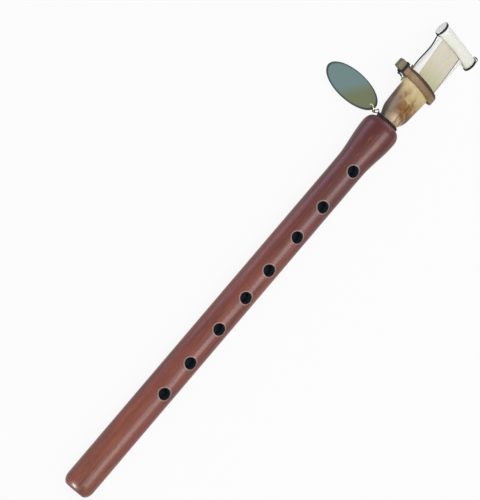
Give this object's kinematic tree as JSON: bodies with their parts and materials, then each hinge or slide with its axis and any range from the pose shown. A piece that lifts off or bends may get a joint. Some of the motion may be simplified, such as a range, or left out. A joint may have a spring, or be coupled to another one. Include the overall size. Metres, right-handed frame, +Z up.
{
  "type": "duduk",
  "caption": "Turned wooden double-reed pipe with finger holes, a flattened cane reed, a bridle, a tied reed cap and an oval tag on a jump ring.",
  "frame": {"origin": "middle of the bounding box, at the level of its lowest point", "axes": "+X along the pipe from its foot to the reed, +Z up from the table that it lies on"},
  "size_m": [0.4342, 0.083, 0.0331],
  "materials": {
    "lacquered_wood": "gloss lacquer",
    "cane": "satin",
    "dark_cane": "satin",
    "pale_cane": "satin",
    "black_thread": "waxed",
    "plate_metal": "polished",
    "yellow_metal": "polished"
  },
  "bodies": {
    "pipe": {"body_tube": "lacquered_wood"},
    "reed": {"reed_cane": "cane", "tenon_wrap": "black_thread", "neck_cord": "black_thread", "tag_cord": "black_thread"},
    "bridle": {"bridle_strip": "dark_cane", "bridle_binding": "black_thread"},
    "cap": {"cap_front_slat": "pale_cane", "cap_back_slat": "pale_cane", "cap_binding_left": "black_thread", "cap_binding_right": "black_thread", "tether": "black_thread"},
    "ring": {"tag_ring": "yellow_metal"},
    "tag": {"tag_plate": "plate_metal"}
  },
  "joints": [
    {"name": "reed_slide", "type": "slide", "parent": "pipe", "child": "reed", "axis": [1, 0, 0], "range_m": [0, 0.026]},
    {"name": "bridle_slide", "type": "slide", "parent": "reed", "child": "bridle", "axis": [0.9998, -0.0192, 0], "range_m": [0, 0.006]},
    {"name": "cap_slide", "type": "slide", "parent": "bridle", "child": "cap", "axis": [0.9998, -0.0192, 0], "range_m": [0, 0.011]},
    {"name": "ring_swing", "type": "hinge", "parent": "reed", "child": "ring", "pos_m": [0.13321, -0.00603, 0.01559], "axis": [0.8572, -0.515, 0], "range_deg": [0, 45]},
    {"name": "tag_swing", "type": "hinge", "parent": "ring", "child": "tag", "pos_m": [0.13412, -0.00452, 0.01435], "axis": [0.8572, -0.515, 0], "range_deg": [0, 60]}
  ]
}
